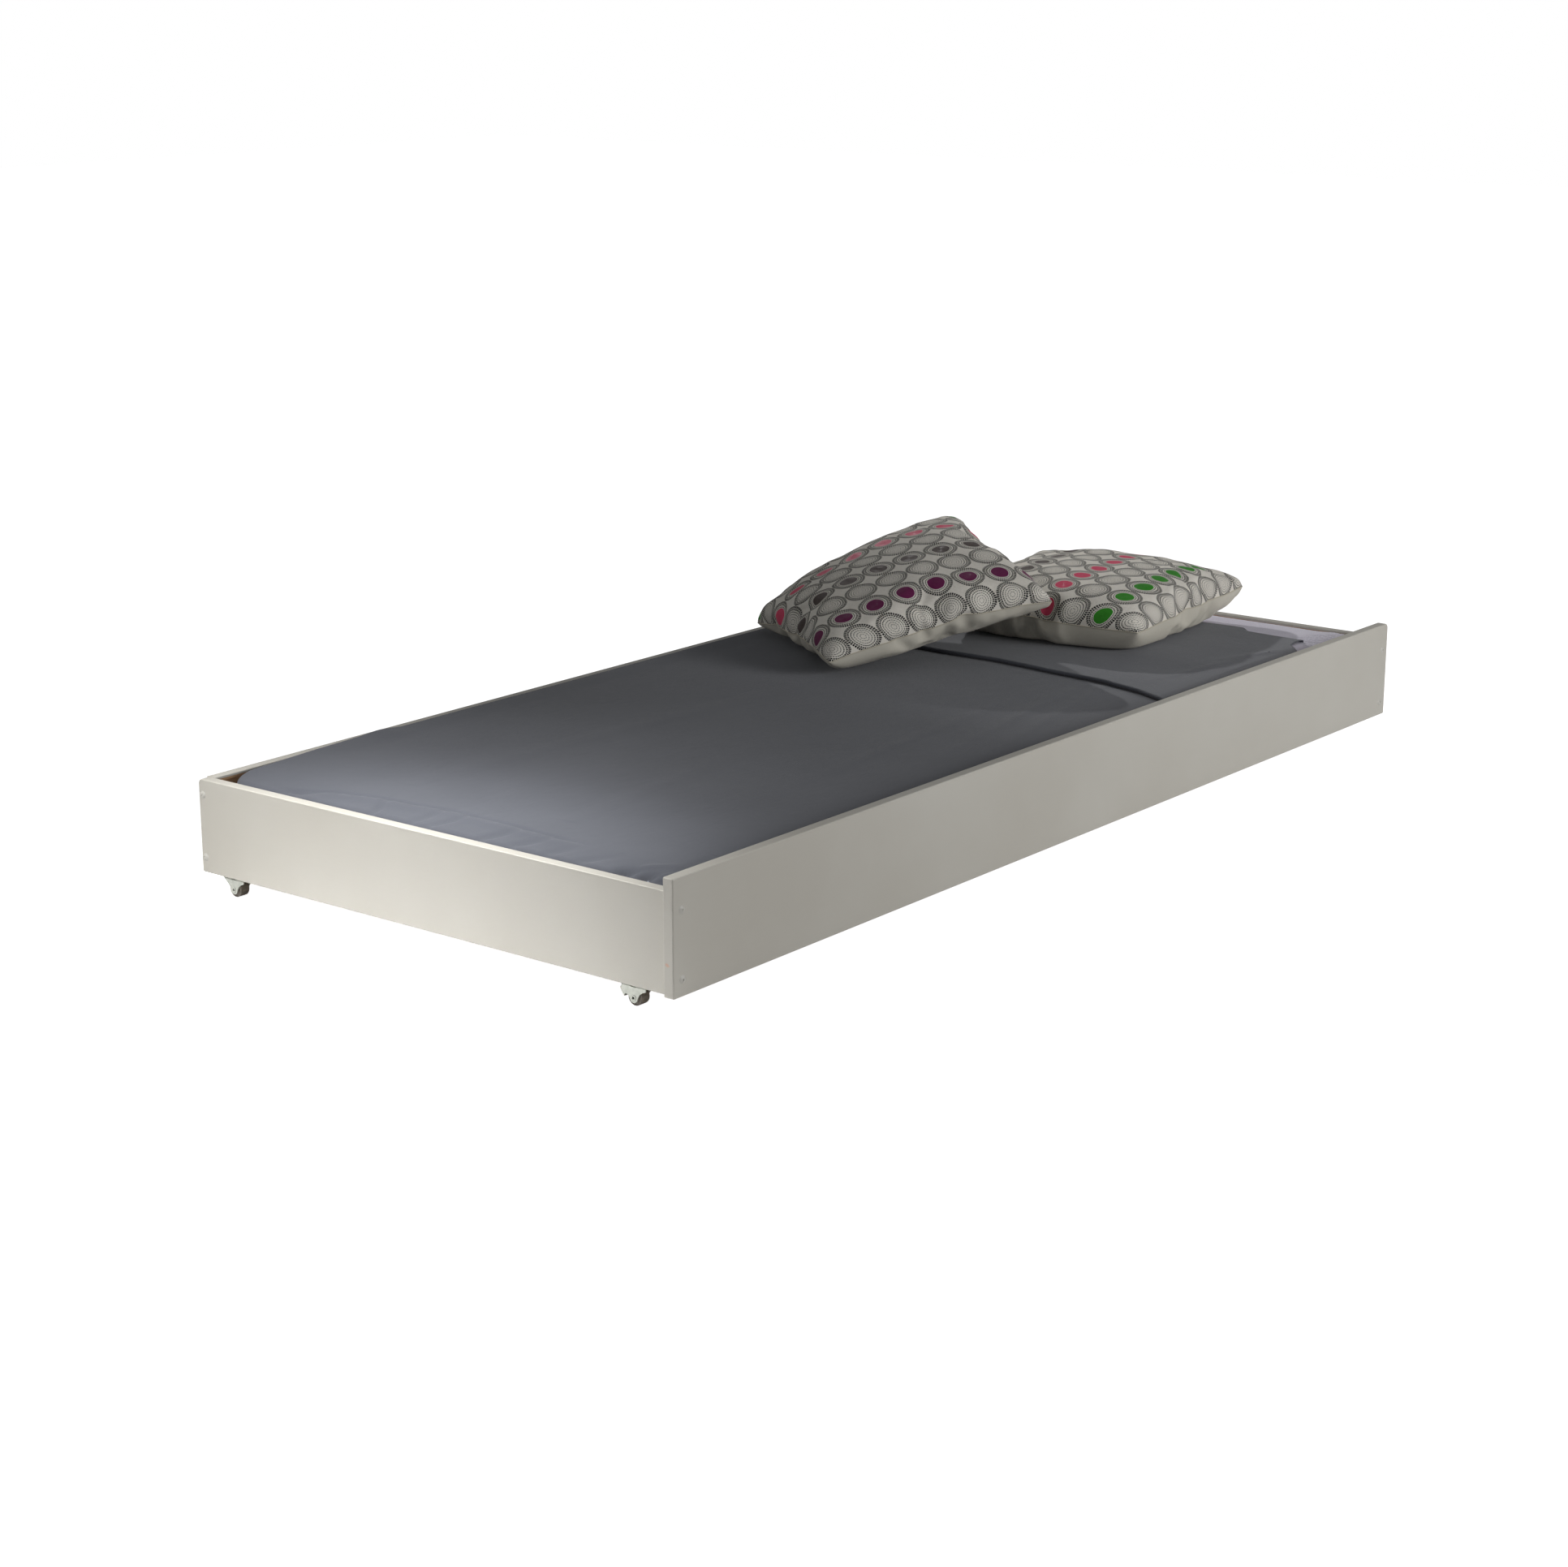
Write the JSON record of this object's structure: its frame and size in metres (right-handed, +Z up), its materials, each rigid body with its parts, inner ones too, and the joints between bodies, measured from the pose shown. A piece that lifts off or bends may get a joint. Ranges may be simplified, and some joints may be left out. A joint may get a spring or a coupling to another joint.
{
  "type": "trundle bed",
  "caption": "Low pull-out bed: painted pine frame with a taller front board, slatted base, mattress with grey cover, square pillows and small braked castors.",
  "frame": {"origin": "on the floor, under the middle of the bed", "axes": "+X along the bed's length, towards the pillows; +Y from the tall front board to the rear board; +Z up"},
  "size_m": [2.066, 0.9678, 0.3847],
  "materials": {
    "painted_pine": "off-white satin paint over pine",
    "bare_pine": "untreated planed pine",
    "zinc_steel": "zinc-plated sheet and wire",
    "wheel_plastic": "moulded",
    "cap_plastic": "moulded, off-white",
    "mattress_fabric": "woven ticking over foam",
    "white_cotton": "plain woven cotton",
    "grey_cotton": "plain woven cotton",
    "pillow_fabric": "ecru cotton with embroidered discs"
  },
  "bodies": {
    "frame": {"brake_pin_front_left": "zinc_steel", "brake_pin_front_right": "zinc_steel", "castor_axle_front_left": "zinc_steel", "castor_axle_front_right": "zinc_steel", "castor_axle_rear_left": "zinc_steel", "castor_axle_rear_right": "zinc_steel", "castor_bracket_front_left": "zinc_steel", "castor_bracket_front_right": "zinc_steel", "castor_bracket_rear_left": "zinc_steel", "castor_bracket_rear_right": "zinc_steel", "castor_screws": "zinc_steel", "cleat_screws": "zinc_steel", "dowels": "bare_pine", "end_board_left": "painted_pine", "end_board_right": "painted_pine", "end_cleat_left": "bare_pine", "end_cleat_right": "bare_pine", "frame_screws": "zinc_steel", "front_board": "painted_pine", "front_cleat": "bare_pine", "rear_board": "painted_pine", "rear_cleat": "bare_pine", "screw_caps": "cap_plastic", "slat_01": "bare_pine", "slat_02": "bare_pine", "slat_03": "bare_pine", "slat_04": "bare_pine", "slat_05": "bare_pine", "slat_06": "bare_pine", "slat_07": "bare_pine", "slat_08": "bare_pine", "slat_09": "bare_pine", "slat_10": "bare_pine", "slat_11": "bare_pine", "slat_12": "bare_pine", "slat_13": "bare_pine", "slat_14": "bare_pine", "slat_screws": "zinc_steel"},
    "brake_front_left": {"brake_lever_front_left": "zinc_steel"},
    "brake_front_right": {"brake_lever_front_right": "zinc_steel"},
    "wheel_front_left": {"castor_wheel_front_left": "wheel_plastic"},
    "wheel_front_right": {"castor_wheel_front_right": "wheel_plastic"},
    "wheel_rear_left": {"castor_wheel_rear_left": "wheel_plastic"},
    "wheel_rear_right": {"castor_wheel_rear_right": "wheel_plastic"},
    "mattress": {"cover": "grey_cotton", "folded_cover": "grey_cotton", "mattress": "mattress_fabric", "under_sheet": "white_cotton"},
    "flat_pillow": {"flat_pillow": "pillow_fabric"},
    "leaning_pillow": {"leaning_pillow": "pillow_fabric"}
  },
  "joints": [
    {"name": "wheel_rear_left_spin", "type": "hinge", "parent": "frame", "child": "wheel_rear_left", "pos_m": [-1.009, 0.416, 0.0125], "axis": [1, 0, 0], "continuous": true},
    {"name": "wheel_rear_right_spin", "type": "hinge", "parent": "frame", "child": "wheel_rear_right", "pos_m": [1.009, 0.416, 0.0125], "axis": [1, 0, 0], "continuous": true},
    {"name": "wheel_front_left_spin", "type": "hinge", "parent": "frame", "child": "wheel_front_left", "pos_m": [-1.009, -0.399, 0.0125], "axis": [1, 0, 0], "continuous": true},
    {"name": "wheel_front_right_spin", "type": "hinge", "parent": "frame", "child": "wheel_front_right", "pos_m": [1.009, -0.399, 0.0125], "axis": [1, 0, 0], "continuous": true},
    {"name": "brake_front_left_press", "type": "hinge", "parent": "frame", "child": "brake_front_left", "pos_m": [-1.009, -0.3825, 0.0215], "axis": [1, 0, 0], "range_deg": [-28, 0]},
    {"name": "brake_front_right_press", "type": "hinge", "parent": "frame", "child": "brake_front_right", "pos_m": [1.009, -0.3825, 0.0215], "axis": [1, 0, 0], "range_deg": [-28, 0]},
    {"name": "mattress_lift", "type": "slide", "parent": "frame", "child": "mattress", "axis": [0, 0, 1], "range_m": [0, 0.18]},
    {"name": "flat_pillow_lift", "type": "slide", "parent": "mattress", "child": "flat_pillow", "axis": [0, 0, 1], "range_m": [0, 0.2]},
    {"name": "leaning_pillow_lift", "type": "slide", "parent": "flat_pillow", "child": "leaning_pillow", "axis": [0, 0, 1], "range_m": [0, 0.25]}
  ]
}
